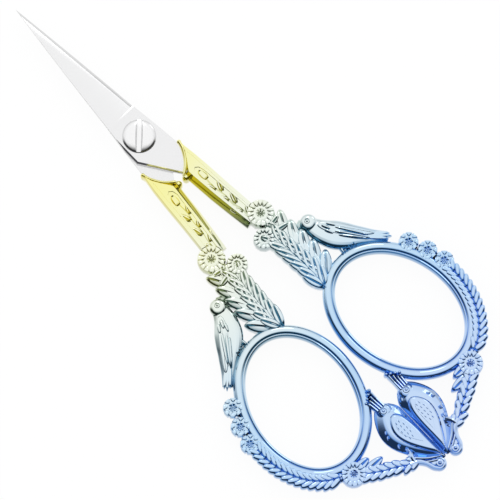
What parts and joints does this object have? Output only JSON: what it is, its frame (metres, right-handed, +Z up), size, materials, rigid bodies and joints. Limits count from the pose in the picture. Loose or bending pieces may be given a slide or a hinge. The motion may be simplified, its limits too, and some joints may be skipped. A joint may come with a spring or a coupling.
{
  "type": "embroidery scissors",
  "caption": "Fine-pointed scissors with openwork cast handles of birds, flowers and leaves, pivoting on a slotted screw, for snipping thread.",
  "frame": {"origin": "middle of the closed scissors' length and width, on the surface that they lie on", "axes": "+Y towards the blade tips, +Z up through the pivot screw's slotted head, +X towards the front handle"},
  "size_m": [0.0586, 0.13, 0.005],
  "materials": {
    "satin_steel": "finely ground stainless steel",
    "plated_casting": "mirror plating on zinc alloy that fades from gold at the collar through pale green to sky blue",
    "screw_steel": "turned and polished"
  },
  "bodies": {
    "rear_half": {"rear_handle": "plated_casting", "rear_blade": "satin_steel", "pivot_screw": "screw_steel"},
    "front_half": {"front_handle": "plated_casting", "front_blade": "satin_steel"}
  },
  "joints": [
    {"name": "pivot", "type": "hinge", "parent": "rear_half", "child": "front_half", "pos_m": [0, 0.0278, 0.0024], "axis": [0, 0, 1], "range_deg": [0, 60]}
  ]
}
